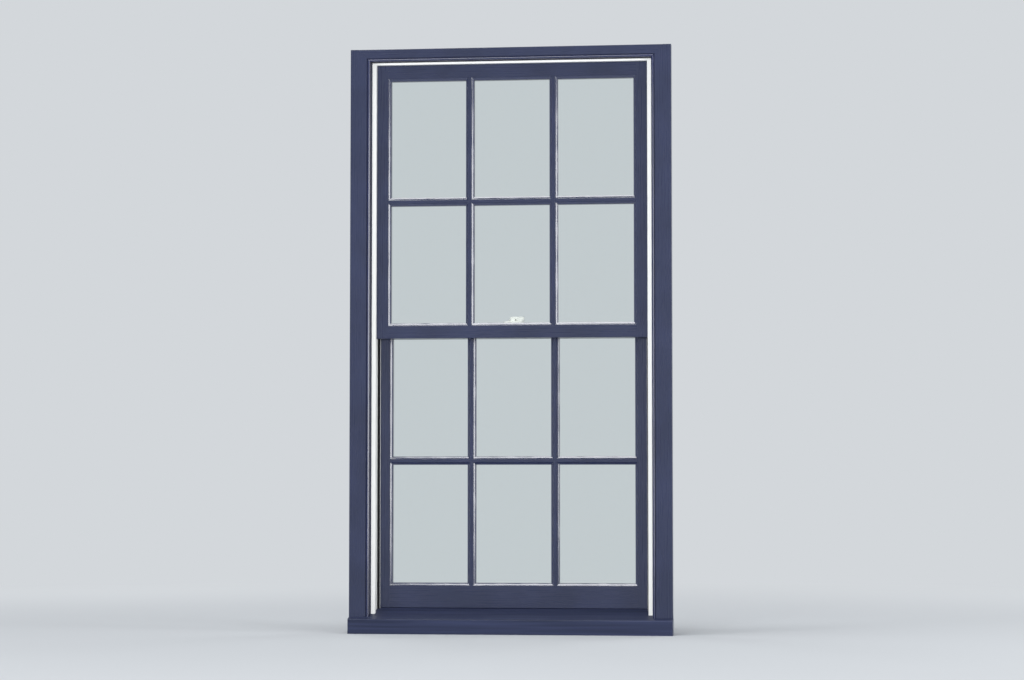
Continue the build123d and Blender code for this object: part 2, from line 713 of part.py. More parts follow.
def check_strip():
    """Strip in the bevel of the lower check rail, just clear of the upper one."""
    z0 = lower_top - CHECK_RAIL / 2 - CHECK_STRIP_HEIGHT / 2
    slope = CHECK_BEVEL / CHECK_RAIL
    upper_face = meeting_y - CHECK_GAP / 2 + slope * CHECK_STRIP_HEIGHT / 2
    y0 = upper_face + STRIP_CLEARANCE
    y1 = y0 + CHECK_GAP + CHECK_STRIP_ROOT
    half = rib_edge - STRIP_END_GAP
    return block(-half, half, y0, y1, z0, z0 + CHECK_STRIP_HEIGHT)


def head_strip():
    """Bulb strip under the head liner, just clear of the upper sash."""
    y0 = upper_track_mid - HEAD_STRIP_WIDTH / 2
    return block(
        -nose_edge, nose_edge, y0, y0 + HEAD_STRIP_WIDTH,
        upper_top + STRIP_CLEARANCE, head_z - VINYL_WALL,
    )


nodes = {}


def add(name, shapes):
    """Keeps the solids of one node."""
    pieces = shapes if isinstance(shapes, list) else [shapes]
    nodes[name] = [solid for piece in pieces for solid in piece.solids()]


def add_pair(name, left):
    """Keeps a piece and its mirror image as two nodes."""
    add(name + "_left", left)
    add(name + "_right", mirrored(left))


def add_sash(name, y, sight_z, z0, z1, rails, tenon_heights, grooves, foot_cuts):
    """Joins one sash: rails tenoned through the stiles, bars scribed to both."""
    stile = cut(sash_stile(y, z0, z1), foot_cuts)
    stiles = stile + mirrored(stile)
    through = [rail_tenons(y, low, high) for low, high in tenon_heights]
    bar_tenons = upright_tenons(y, sight_z)
    ends = cross_tenons(y, sight_z)
    for (rail_name, rail), tenons in zip(rails.items(), through):
        add(f"{name}_{rail_name}", cut(cut(rail - stiles, bar_tenons) + tenons, grooves))
    add_pair(f"{name}_stile", cut(stile, [shoe_notch(y, z0)] + through + ends + grooves))
    uprights = [
        cut(bar, list(rails.values())) + tenon
        for bar, tenon in zip(upright_bars(y, sight_z), bar_tenons)
    ]
    for side, bar in zip(("left", "right"), uprights):
        add(f"{name}_bar_{side}", bar)
    crossing = [cut(bar, uprights + [stiles]) for bar in cross_bars(y, sight_z)]
    for row, end in enumerate(ends):
        first = row * PANE_COLUMNS
        last = first + PANE_COLUMNS - 1
        crossing[first] = crossing[first] + end
        crossing[last] = crossing[last] + mirrored(end)
    add(f"{name}_cross_bars", crossing)
    for index, (x, z) in enumerate(window_grid(sight_z)):
        add(f"{name}_pane_{index + 1}", pane(x, y, z))
    add(f"{name}_putty", [putty_ring(x, y, z) for x, z in window_grid(sight_z)])


# Frame
sill_blank = wood_sill()
jamb_blank = side_jamb()
head_jamb = block(-jamb_face - HOUSING, jamb_face + HOUSING, jamb_y, room_y, head_z, head_top)
tube_places = ((upper_track_mid, upper_tube_z), (lower_track_mid, lower_tube_z))
tube_screw_z = balance_top + TAB_HEIGHT / 2
tube_screw_places = [(TAB_THICKNESS - pocket_back, y, tube_screw_z) for y, _ in tube_places]
tube_screws = placed(pan_screw, tube_screw_places, Rot(0, 90, 0))
add("sill", sill_blank - jamb_blank - mirrored(jamb_blank))
add_pair("jamb", cut(jamb_blank - head_jamb, tube_screws))
add("head_jamb", head_jamb)
casing_side, casing_head = mitred_trim(
    casing_section(CASING_WIDTH), casing_section(HEAD_CASING_WIDTH),
    casing_edge, head_edge, HEAD_CASING_WIDTH, casing_y, CASING_THICKNESS,
)
add_pair("casing", casing_side)
add("head_casing", casing_head)
stop_side, stop_head = mitred_trim(
    stop_section(), stop_section(), stop_edge, head_z - stop_width, stop_width, stop_y, STOP_THICKNESS,
)
add_pair("stop", stop_side)
add("head_stop", stop_head)
add_pair("jamb_liner", jamb_liner(tube_screws))
add("head_liner", head_liner())
add("head_weatherstrip", head_strip())
tubes = [cut(balance_tube(y, z), tube_screws) for y, z in tube_places]
bushes = [balance_bush(y, z) for y, z in tube_places]
add("balance_tubes", tubes + [mirrored(tube) for tube in tubes])
add("balance_bushes", bushes + [mirrored(bush) for bush in bushes])
add("balance_screws", tube_screws + [mirrored(part) for part in tube_screws])

# Upper sash, in the outer track
keeper_y = upper_inner_y + KEEPER_EDGE - KEEPER_DEPTH / 2
keeper_places = [
    (x, keeper_y, upper_sight + KEEPER_THICKNESS) for x in (-KEEPER_SCREW_X, KEEPER_SCREW_X)
]
keeper_screws = placed(flush_screw, keeper_places)
upper_rails = {
    "top_rail": plain_rail(upper_y, upper_top, -1, TOP_RAIL),
    "check_rail": upper_check_rail(),
}
add_sash(
    "upper", upper_y, upper_sight, upper_z, upper_top, upper_rails,
    [
        (upper_top - TOP_RAIL + REBATE_WIDTH, upper_top - TENON_SHOULDER),
        (upper_z + TENON_SHOULDER, upper_z + CHECK_RAIL - REBATE_WIDTH),
    ],
    keeper_screws, [],
)
add("keeper", keeper(keeper_screws))
add("keeper_screws", keeper_screws)
upper_shoe = balance_shoe(upper_track_mid, upper_z)
upper_rod = balance_rod(upper_track_mid, upper_z, upper_rod_top)
add("upper_balance_shoes", [upper_shoe, mirrored(upper_shoe)])
add("upper_balance_rods", [upper_rod, mirrored(upper_rod)])

# Lower sash, in the inner track
raised_sill = Pos(0, 0, SILL_GAP) * sill_blank
lock_screw_z = lower_top + LOCK_SEAT + SCREW_HEAD_HEIGHT
lock_places = [(x, lock_y, lock_screw_z) for x in (-LOCK_SCREW_X, LOCK_SCREW_X)]
lock_screws = placed(flush_screw, lock_places)
lift_xs = (-column_pitch, column_pitch)
lift_places = [
    (x + offset, lower_inner_y + LIFT_PLATE, lower_z + LIFT_RISE + LIFT_SCREW_RISE)
    for x in lift_xs
    for offset in (-LIFT_SCREW_X, LIFT_SCREW_X)
]
lift_screws = placed(pan_screw, lift_places, Rot(-90, 0, 0))
lower_rails = {
    "bottom_rail": plain_rail(lower_y, lower_z, 1, BOTTOM_RAIL) - raised_sill,
    "check_rail": lower_check_rail(),
}
add_sash(
    "lower", lower_y, lower_sight, lower_z, lower_top, lower_rails,
    [
        (lower_z + TENON_SHOULDER, lower_sight - REBATE_WIDTH),
        (lower_top - CHECK_RAIL + REBATE_WIDTH, lower_top - TENON_SHOULDER),
    ],
    [sill_strip(), check_strip()] + lift_screws + lock_screws, [raised_sill],
)
add("sill_weatherstrip", sill_strip())
add("check_weatherstrip", check_strip())
add("lock_base", lock_base(lock_screws))
add("lock_screws", lock_screws)
add("sash_lifts", [sash_lift(x, lift_screws) for x in lift_xs])
add("sash_lift_screws", lift_screws)
lower_shoe = balance_shoe(lower_track_mid, lower_z)
lower_rod = balance_rod(lower_track_mid, lower_z, lower_rod_top)
add("lower_balance_shoes", [lower_shoe, mirrored(lower_shoe)])
add("lower_balance_rods", [lower_rod, mirrored(lower_rod)])

# Lock lever, turning about a vertical shaft
add("lock_lever", lock_lever())
add("lock_cam", lock_cam())

os.makedirs("parts", exist_ok=True)
for node, solids in nodes.items():
    export_step(Compound(solids), f"parts/{node}.step")
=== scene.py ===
# %% [markdown]
# # A painted double-hung sash window
# The window comes packed from its CAD model: every rail, bar, pane and screw already has its true
# size and place. Blender's part is the look: paint, putty, glass, vinyl and hardware. We load the
# model as a fixed frame, note the box it fills, and never move or reshape what we loaded.

import json

import bpy
import numpy as np
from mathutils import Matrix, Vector


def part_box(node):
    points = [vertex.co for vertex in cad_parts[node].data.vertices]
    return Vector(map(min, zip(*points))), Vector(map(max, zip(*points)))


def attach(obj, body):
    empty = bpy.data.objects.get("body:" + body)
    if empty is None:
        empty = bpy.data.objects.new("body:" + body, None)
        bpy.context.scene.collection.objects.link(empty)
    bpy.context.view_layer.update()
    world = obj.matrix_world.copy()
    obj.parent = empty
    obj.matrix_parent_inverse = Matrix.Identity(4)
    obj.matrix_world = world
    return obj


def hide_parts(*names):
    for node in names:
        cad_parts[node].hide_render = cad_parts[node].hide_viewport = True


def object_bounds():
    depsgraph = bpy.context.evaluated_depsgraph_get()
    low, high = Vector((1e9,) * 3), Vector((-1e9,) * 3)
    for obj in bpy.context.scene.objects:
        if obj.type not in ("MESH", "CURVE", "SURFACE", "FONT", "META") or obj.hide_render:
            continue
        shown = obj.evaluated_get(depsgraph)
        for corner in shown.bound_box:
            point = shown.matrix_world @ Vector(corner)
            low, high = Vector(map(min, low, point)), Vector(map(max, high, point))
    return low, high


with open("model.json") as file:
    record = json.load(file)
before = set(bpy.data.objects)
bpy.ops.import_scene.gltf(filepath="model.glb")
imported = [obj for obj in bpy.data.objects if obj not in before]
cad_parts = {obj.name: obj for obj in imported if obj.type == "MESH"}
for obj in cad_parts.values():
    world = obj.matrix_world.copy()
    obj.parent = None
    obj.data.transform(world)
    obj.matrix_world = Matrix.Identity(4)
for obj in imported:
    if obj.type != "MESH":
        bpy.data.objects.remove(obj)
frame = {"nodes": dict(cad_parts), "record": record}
cad_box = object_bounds()

# %% [markdown]
# ## Colours and nodes
# A paint card gives colours as sRGB hex, but Blender's sockets take linear light. One function
# converts them, so every colour below can be read as it would be on a card. A second one adds a
# shader node with its settings and links, so that each material reads as a list of what it is made
# of.

# %% Two small helpers
def linear(code):
    """Linear colour from an sRGB hex code: below 0.04045 a division by 12.92, above it a power of 2.4."""
    srgb = np.array([int(code[at:at + 2], 16) for at in (1, 3, 5)]) / 255
    value = np.where(srgb <= 0.04045, srgb / 12.92, ((srgb + 0.055) / 1.055) ** 2.4)
    return (*value.tolist(), 1.0)


def node(tree, kind, settings, inputs):
    """Adds a node. An input is a value, or another node's output socket, which is then linked."""
    made = tree.nodes.new(kind)
    for name, value in settings.items():
        setattr(made, name, value)
    for name, value in inputs.items():
        if isinstance(value, bpy.types.NodeSocket):
            tree.links.new(value, made.inputs[name])
        else:
            made.inputs[name].default_value = value
    return made


def new_material(name):
    """An empty material, ready for its nodes."""
    made = bpy.data.materials.new(name)
    made.use_nodes = True
    made.node_tree.nodes.clear()
    return made


def surface(tree, shader):
    """Shows a shader on the surface."""
    node(tree, "ShaderNodeOutputMaterial", {}, {"Surface": shader.outputs[0]})


print("navy on the card:", [round(value, 4) for value in linear("#2b3052")])

# %% [markdown]
# ## Brushed satin-gloss paint on wood
# Joinery is painted with a brush along each member, so the film has fine ridges in that direction,
# and the grain of the pine shows through as longer, weaker waves. Both are noise stretched along the
# member: a Mapping node divides the coordinates by the width of a mark across and by its length
# along. Uprights need the marks along Z and level members along X, so the same recipe is mixed twice.
# The sill lies open to rain and sun, which take its gloss first and bring up the grain: its paint is
# duller, and worn along the grain. Real brush marks are about 0.5 mm apart. They are drawn 2.5 mm
# apart here, or they would vanish in a view of the whole window.

# %% Paint for the uprights, the level members, the bead and the sill
BRUSH_MARK = 0.0025
BRUSH_LENGTH = 0.16
GRAIN_WIDTH = 0.011
GRAIN_LENGTH = 0.55
BRUSH_DEPTH = 0.0002
GRAIN_DEPTH = 0.0006
FILM_PATCH = 0.13
EDGE_ROUNDING = 0.0009
PAINT_IOR = 1.5


def marks_along(tree, coordinates, axis, width, length, detail):
    """Noise of unit size on coordinates divided by the mark's width, or by its length along one axis."""
    scale = [1 / width] * 3
    scale[axis] = 1 / length
    stretched = node(
        tree, "ShaderNodeMapping", {"vector_type": "POINT"}, {"Vector": coordinates, "Scale": scale},
    )
    return node(
        tree, "ShaderNodeTexNoise", {},
        {"Vector": stretched.outputs["Vector"], "Scale": 1.0, "Detail": detail, "Roughness": 0.55},
    )


def brushed_paint(name, axis, deep, worn, coat, smooth=0.24, rough=0.36, raised_grain=False):
    """Paint with brush marks and grain along one axis, worn in patches or along the raised grain."""
    material = new_material(name)
    tree = material.node_tree
    place = node(tree, "ShaderNodeTexCoord", {}, {}).outputs["Object"]
    brush = marks_along(tree, place, axis, BRUSH_MARK, BRUSH_LENGTH, 3.0)
    grain = marks_along(tree, place, axis, GRAIN_WIDTH, GRAIN_LENGTH, 2.0)
    patch = node(
        tree, "ShaderNodeTexNoise", {}, {"Vector": place, "Scale": 1 / FILM_PATCH, "Detail": 3.0},
    )
    drift = node(
        tree, "ShaderNodeMapRange", {},
        {
            "Value": (grain if raised_grain else patch).outputs["Fac"],
            "From Min": 0.35, "From Max": 0.7, "To Min": 0.0, "To Max": 1.0,
        },
    )
    colour = node(
        tree, "ShaderNodeMix", {"data_type": "RGBA"},
        {0: drift.outputs["Result"], 6: linear(deep), 7: linear(worn)},
    )
    gloss = node(
        tree, "ShaderNodeMapRange", {},
        {
            "Value": brush.outputs["Fac"], "From Min": 0.3, "From Max": 0.7,
            "To Min": smooth, "To Max": rough,
        },
    )
    rounded = node(tree, "ShaderNodeBevel", {"samples": 4}, {"Radius": EDGE_ROUNDING})
    waves = node(
        tree, "ShaderNodeBump", {},
        {
            "Strength": 0.25, "Distance": GRAIN_DEPTH, "Height": grain.outputs["Fac"],
            "Normal": rounded.outputs["Normal"],
        },
    )
    ridges = node(
        tree, "ShaderNodeBump", {},
        {
            "Strength": 0.30, "Distance": BRUSH_DEPTH, "Height": brush.outputs["Fac"],
            "Normal": waves.outputs["Normal"],
        },
    )
    surface(tree, node(
        tree, "ShaderNodeBsdfPrincipled", {},
        {
            "Base Color": colour.outputs[2], "Roughness": gloss.outputs["Result"], "IOR": PAINT_IOR,
            "Normal": ridges.outputs["Normal"], "Coat Weight": coat, "Coat Roughness": 0.12,
        },
    ))
    return material


upright_paint = brushed_paint("brushed_navy_alkyd_upright", 2, "#1e253f", "#252c49", 0.25)
level_paint = brushed_paint("brushed_navy_alkyd_level", 0, "#1e253f", "#252c49", 0.25)
bead_paint = brushed_paint("brushed_navy_alkyd_thick_on_bead", 2, "#1e2544", "#252c52", 0.45)
sill_paint = brushed_paint("brushed_navy_alkyd_weathered", 0, "#1a2139", "#2d3451", 0.0, 0.45, 0.6, True)
print("painted:", upright_paint.name, level_paint.name, bead_paint.name, sill_paint.name)

# %% [markdown]
# ## Painted linseed putty
# Putty is pushed in with the thumb and struck off with a knife, then painted over the edge of the
# glass. It has no grain: only soft lumps about 20 mm long and the skin of the paint, a little
# glossier than on wood because putty doesn't soak it up.

# %% Putty
PUTTY_LUMP = 0.02
PUTTY_SKIN = 0.003

putty_paint = new_material("painted_linseed_putty")
tree = putty_paint.node_tree
place = node(tree, "ShaderNodeTexCoord", {}, {}).outputs["Object"]
lumps = node(tree, "ShaderNodeTexNoise", {}, {"Vector": place, "Scale": 1 / PUTTY_LUMP, "Detail": 2.0})
skin = node(tree, "ShaderNodeTexNoise", {}, {"Vector": place, "Scale": 1 / PUTTY_SKIN, "Detail": 2.0})
tone = node(
    tree, "ShaderNodeMix", {"data_type": "RGBA"},
    {0: lumps.outputs["Fac"], 6: linear("#212844"), 7: linear("#29304f")},
)
sheen = node(
    tree, "ShaderNodeMapRange", {},
    {"Value": skin.outputs["Fac"], "From Min": 0.3, "From Max": 0.7, "To Min": 0.16, "To Max": 0.24},
)
struck = node(
    tree, "ShaderNodeBump", {}, {"Strength": 0.12, "Distance": 0.0008, "Height": lumps.outputs["Fac"]},
)
surface(tree, node(
    tree, "ShaderNodeBsdfPrincipled", {},
    {
        "Base Color": tone.outputs[2], "Roughness": sheen.outputs["Result"], "IOR": PAINT_IOR,
        "Normal": struck.outputs["Normal"], "Coat Weight": 1.0, "Coat Roughness": 0.14,
    },
))
print("made", putty_paint.name)

# %% [markdown]
# ## Float glass
# Each pane is a true 3 mm sheet, so Principled with full transmission and an IOR of 1.5 bends light
# twice as a real one does. Float glass is nearly flat: a very weak bump, 60 mm from wave to wave,
# lets reflections waver a little. The iron in the glass gives a faint green, strongest where one
# looks through an edge.

# %% Glass
GLASS_WAVE = 0.06

glass = new_material("clear_float_glass")
tree = glass.node_tree
place = node(tree, "ShaderNodeTexCoord", {}, {}).outputs["Object"]
waver = node(tree, "ShaderNodeTexNoise", {}, {"Vector": place, "Scale": 1 / GLASS_WAVE, "Detail": 1.0})
drawn = node(
    tree, "ShaderNodeBump", {}, {"Strength": 0.06, "Distance": 0.001, "Height": waver.outputs["Fac"]},
)
surface(tree, node(
    tree, "ShaderNodeBsdfPrincipled", {},
    {
        "Base Color": linear("#eaf0ef"), "Roughness": 0.0, "IOR": 1.5,
        "Transmission Weight": 1.0, "Normal": drawn.outputs["Normal"],
    },
))
print("made", glass.name)

# %% [markdown]
# ## White vinyl and white enamel
# The liners are extruded PVC: satin, very slightly translucent-looking white, with fine die lines
# along Z where the tool scratched the hot plastic. The lock, its keeper and the lifts are zinc
# castings in baked enamel, which flows out glossy but keeps an orange-peel ripple about 1.5 mm
# across.

# %% Vinyl and enamel
DIE_LINE = 0.0016
DIE_LENGTH = 1.2
PEEL = 0.0015
CAST_EDGE = 0.0008
YELLOWED_PATCH = 0.25
FADED_PATCH = 1 / 30

vinyl = new_material("satin_extruded_vinyl")
tree = vinyl.node_tree
place = node(tree, "ShaderNodeTexCoord", {}, {}).outputs["Object"]
die = marks_along(tree, place, 2, DIE_LINE, DIE_LENGTH, 2.0)
yellowing = node(
    tree, "ShaderNodeTexNoise", {}, {"Vector": place, "Scale": 1 / YELLOWED_PATCH, "Detail": 2.0},
)
white = node(
    tree, "ShaderNodeMix", {"data_type": "RGBA"},
    {0: yellowing.outputs["Fac"], 6: linear("#f7f9f8"), 7: linear("#f0f1ee")},
)
lines = node(
    tree, "ShaderNodeBump", {}, {"Strength": 0.2, "Distance": 0.0002, "Height": die.outputs["Fac"]},
)
surface(tree, node(
    tree, "ShaderNodeBsdfPrincipled", {},
    {"Base Color": white.outputs[2], "Roughness": 0.38, "IOR": 1.53, "Normal": lines.outputs["Normal"]},
))

enamel = new_material("white_baked_enamel")
tree = enamel.node_tree
place = node(tree, "ShaderNodeTexCoord", {}, {}).outputs["Object"]
peel = node(tree, "ShaderNodeTexNoise", {}, {"Vector": place, "Scale": 1 / PEEL, "Detail": 1.0})
fading = node(tree, "ShaderNodeTexNoise", {}, {"Vector": place, "Scale": 1 / FADED_PATCH, "Detail": 2.0})
baked = node(
    tree, "ShaderNodeMix", {"data_type": "RGBA"},
    {0: fading.outputs["Fac"], 6: linear("#f3f2ee"), 7: linear("#eae9e3")},
)
edges = node(tree, "ShaderNodeBevel", {"samples": 4}, {"Radius": CAST_EDGE})
ripple = node(
    tree, "ShaderNodeBump", {},
    {
        "Strength": 0.15, "Distance": 0.0002, "Height": peel.outputs["Fac"],
        "Normal": edges.outputs["Normal"],
    },
)
surface(tree, node(
    tree, "ShaderNodeBsdfPrincipled", {},
    {
        "Base Color": baked.outputs[2], "Roughness": 0.22, "IOR": 1.5, "Normal": ripple.outputs["Normal"],
        "Coat Weight": 0.4, "Coat Roughness": 0.08,
    },
))
print("made", vinyl.name, enamel.name)

# %% [markdown]
# ## Zinc-plated steel, nylon, weatherstrip, painted shade and pile
# Balance tubes and rods are drawn steel with a zinc plating: a metal with scratches along its length.
# The shoes and bushes are moulded nylon, a warm milky plastic. The weatherstrips are foam in a dark
# rubber skin with fine pores. The joint between casing and vinyl is painted shade: a dull, slightly
# uneven blue-black wedge that stands for the shadow in the gap there. Wool pile has about 12 tufts to
# a centimetre: near-black, so that it also paints the shade deep in the track, with no shine, and
# drawn a little coarser here.

# %% Steel, nylon, rubber, painted shade wedge and pile
DRAW_MARK = 0.0008
DRAW_LENGTH = 0.09
ZINC_BLOOM = 1 / 120
NYLON_FLOW = 1 / 60
PORE = 0.0009
SHADE_WEDGE_MOTTLE = 0.011
TUFT = 0.0012

zinc = new_material("zinc_plated_steel")
tree = zinc.node_tree
place = node(tree, "ShaderNodeTexCoord", {}, {}).outputs["Object"]
drawing = marks_along(tree, place, 2, DRAW_MARK, DRAW_LENGTH, 2.0)
bloom = node(tree, "ShaderNodeTexNoise", {}, {"Vector": place, "Scale": 1 / ZINC_BLOOM, "Detail": 3.0})
plating = node(
    tree, "ShaderNodeMix", {"data_type": "RGBA"},
    {0: bloom.outputs["Fac"], 6: linear("#c3c6c8"), 7: linear("#a9adb2")},
)
scratch = node(
    tree, "ShaderNodeMapRange", {},
    {"Value": drawing.outputs["Fac"], "From Min": 0.3, "From Max": 0.7, "To Min": 0.28, "To Max": 0.42},
)
furrows = node(
    tree, "ShaderNodeBump", {}, {"Strength": 0.2, "Distance": 0.0001, "Height": drawing.outputs["Fac"]},
)
surface(tree, node(
    tree, "ShaderNodeBsdfPrincipled", {},
    {
        "Base Color": plating.outputs[2], "Metallic": 1.0, "Roughness": scratch.outputs["Result"],
        "Normal": furrows.outputs["Normal"],
    },
))

nylon = new_material("moulded_nylon")
tree = nylon.node_tree
place = node(tree, "ShaderNodeTexCoord", {}, {}).outputs["Object"]
flow = node(tree, "ShaderNodeTexNoise", {}, {"Vector": place, "Scale": 1 / NYLON_FLOW, "Detail": 2.0})
milky = node(
    tree, "ShaderNodeMix", {"data_type": "RGBA"},
    {0: flow.outputs["Fac"], 6: linear("#dddccd"), 7: linear("#d0cebc")},
)
surface(tree, node(
    tree, "ShaderNodeBsdfPrincipled", {},
    {"Base Color": milky.outputs[2], "Roughness": 0.5, "IOR": 1.53},
))

rubber = new_material("foam_strip_in_rubber_skin")
tree = rubber.node_tree
place = node(tree, "ShaderNodeTexCoord", {}, {}).outputs["Object"]
pores = node(tree, "ShaderNodeTexNoise", {}, {"Vector": place, "Scale": 1 / PORE, "Detail": 2.0})
dark = node(
    tree, "ShaderNodeMix", {"data_type": "RGBA"},
    {0: pores.outputs["Fac"], 6: linear("#232326"), 7: linear("#34343a")},
)
pitted = node(
    tree, "ShaderNodeBump", {}, {"Strength": 0.4, "Distance": 0.0003, "Height": pores.outputs["Fac"]},
)
surface(tree, node(
    tree, "ShaderNodeBsdfPrincipled", {},
    {"Base Color": dark.outputs[2], "Roughness": 0.8, "IOR": 1.5, "Normal": pitted.outputs["Normal"]},
))

# This blue-black finish is painted shade: it darkens the gap between casing and vinyl as its shadow
# would.
shade_wedge_finish = new_material("blue_black_painted_shade_wedge")
tree = shade_wedge_finish.node_tree
place = node(tree, "ShaderNodeTexCoord", {}, {}).outputs["Object"]
shade_wedge_mottle = node(tree, "ShaderNodeTexNoise", {}, {"Vector": place, "Scale": 1 / SHADE_WEDGE_MOTTLE, "Detail": 2.0})
painted_shade_tone = node(
    tree, "ShaderNodeMix", {"data_type": "RGBA"},
    {0: shade_wedge_mottle.outputs["Fac"], 6: linear("#0c102a"), 7: linear("#171b38")},
)
shade_wedge_ripple = node(
    tree, "ShaderNodeBump", {}, {"Strength": 0.3, "Distance": 0.0005, "Height": shade_wedge_mottle.outputs["Fac"]},
)
surface(tree, node(
    tree, "ShaderNodeBsdfPrincipled", {},
    {"Base Color": painted_shade_tone.outputs[2], "Roughness": 0.7, "IOR": 1.5, "Normal": shade_wedge_ripple.outputs["Normal"]},
))

# The pile's near-black is partly painted shade: it stands for the shadow deep in the track as well as
# dark wool.
pile_and_track_shade = new_material("siliconised_wool_pile_and_painted_shade")
tree = pile_and_track_shade.node_tree
place = node(tree, "ShaderNodeTexCoord", {}, {}).outputs["Object"]
tufts = node(tree, "ShaderNodeTexNoise", {}, {"Vector": place, "Scale": 1 / TUFT, "Detail": 2.0})
wool_and_shade_tone = node(
    tree, "ShaderNodeMix", {"data_type": "RGBA"},
    {0: tufts.outputs["Fac"], 6: linear("#07070b"), 7: linear("#18181f")},
)
fuzz = node(
    tree, "ShaderNodeBump", {}, {"Strength": 0.6, "Distance": 0.0006, "Height": tufts.outputs["Fac"]},
)
surface(tree, node(
    tree, "ShaderNodeBsdfPrincipled", {},
    {"Base Color": wool_and_shade_tone.outputs[2], "Roughness": 0.95, "IOR": 1.5, "Normal": fuzz.outputs["Normal"]},
))
print("made", zinc.name, nylon.name, rubber.name, shade_wedge_finish.name, pile_and_track_shade.name)

# %% [markdown]
# ## Dress the CAD nodes
# The record lists which finish each node has. Painted nodes are shared out between the two directions
# of brushing: everything that is taller than it is wide was brushed up and down. Only the sill has
# the weathered paint. The panes cast no shadow. Cycles doesn't carry a lamp's light through a solid
# pane of glass, so everything behind one would stand in the dark, as if the pane were painted.

# %% Finish every node by its slot
finishes = {
    "glazing_putty": putty_paint,
    "glass": glass,
    "white_vinyl": vinyl,
    "weatherstrip": rubber,
    "balance_steel": zinc,
    "nylon": nylon,
    "white_enamel": enamel,
    "screw_steel": zinc,
}
for part in frame["record"]["subparts"]:
    low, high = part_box(part["node"])
    tall = high.z - low.z > high.x - low.x
    brushed = sill_paint if part["node"] == "sill" else upright_paint if tall else level_paint
    dressed = frame["nodes"][part["node"]]
    dressed.visible_shadow = part["material_slot"] != "glass"
    for material_slot in dressed.material_slots:
        material_slot.material = finishes.get(part["material_slot"], brushed)

# %% [markdown]
# ## One maker for every new surface
# Each new piece below is a tube: rings of points, one after another, worked out by numpy as one
# array. The maker joins each ring to the next with quads and shuts the ends with flat caps, or joins
# the last ring to the first, as on a frame that goes round a pane. It measures the signed volume and
# turns the faces round if it is negative, so that they always point outwards.

# %% The maker
SMOOTH_BELOW = np.radians(32)


def ring_quads(rows, columns, looped):
    """Corners of each quad between ring r and ring r + 1, from point c to point c + 1 of the ring."""
    row = np.arange(rows if looped else rows - 1)[:, None]
    column = np.arange(columns)[None, :]
    next_row = (row + 1) % rows
    next_column = (column + 1) % columns
    corners = [
        row * columns + column, row * columns + next_column,
        next_row * columns + next_column, next_row * columns + column,
    ]
    return np.stack(np.broadcast_arrays(*corners), axis=-1).reshape(-1, 4)


def signed_volume(points, quads):
    """A sixth of the sum, over the triangles, of a corner dotted with the cross product of the others."""
    a, b, c, d = (points[quads[:, corner]] for corner in range(4))
    return float(np.sum(a * (np.cross(b, c) + np.cross(c, d))) / 6)


def make_piece(name, tubes, looped, finish, body, slot_name, *stands_for):
    """Makes an object from tubes, each an array of rings x points x 3, with its finish and body. The slot
    name is not used.
    """
    points = []
    faces = []
    first = 0
    for tube in tubes:
        rows, columns = tube.shape[:2]
        flat = tube.reshape(-1, 3)
        quads = ring_quads(rows, columns, looped)
        ends = np.stack([np.arange(columns)[::-1], np.arange(columns) + (rows - 1) * columns])
        step = 1 if signed_volume(flat - flat.mean(axis=0), quads) > 0 else -1
        faces += (quads[:, ::step] + first).tolist()
        faces += [] if looped else (ends[:, ::step] + first).tolist()
        points.append(flat)
        first += len(flat)
    mesh = bpy.data.meshes.new(name)
    mesh.from_pydata(np.concatenate(points), [], faces)
    mesh.polygons.foreach_set("use_smooth", np.ones(len(mesh.polygons), dtype=bool))
    mesh.set_sharp_from_angle(angle=SMOOTH_BELOW)
    mesh.materials.append(finish)
    made = bpy.data.objects.new(name, mesh)
    bpy.context.scene.collection.objects.link(made)
    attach(made, body)
    if stands_for:
        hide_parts(*stands_for)
    print(name, len(mesh.vertices), "points", len(mesh.polygons), "faces")


# %% [markdown]
# ## Putty lines struck by hand
# A putty line slopes from the face of the sash to the glass and is mitred in the corners. The rings
# here are its cross-section, carried round the pane. A unit square path, scaled by the half width
# less the distance from the rebate, gives all four sides with true mitres at once. The knife leaves a
# faint hollow and a slow wave, which die away at the mitres.

# %% Putty round all twelve panes
GLASS_LAP = 0.007  # pane edge behind the sight line
REBATE_GAP = 0.0015  # pane edge to rebate
SEAT_GAP = 0.00005
KNIFE_HOLLOW = 0.00025
KNIFE_WAVE = 0.00012
WAVES_A_SIDE = (2.5, 6.3)  # a slow wave and a quicker, weaker one
SIDE_SAMPLES = 36
SLOPE_SAMPLES = 9


def square_path(samples):
    """Points round the square from -1 to 1: each side runs straight from one corner to the next."""
    corners = np.array([(-1, -1), (1, -1), (1, 1), (-1, 1)], dtype=float)
    along = np.linspace(0, 1, samples, endpoint=False)[None, :, None]
    sides = corners[:, None, :] * (1 - along) + np.roll(corners, -1, axis=0)[:, None, :] * along
    return sides.reshape(-1, 2), np.tile(along.ravel(), 4)


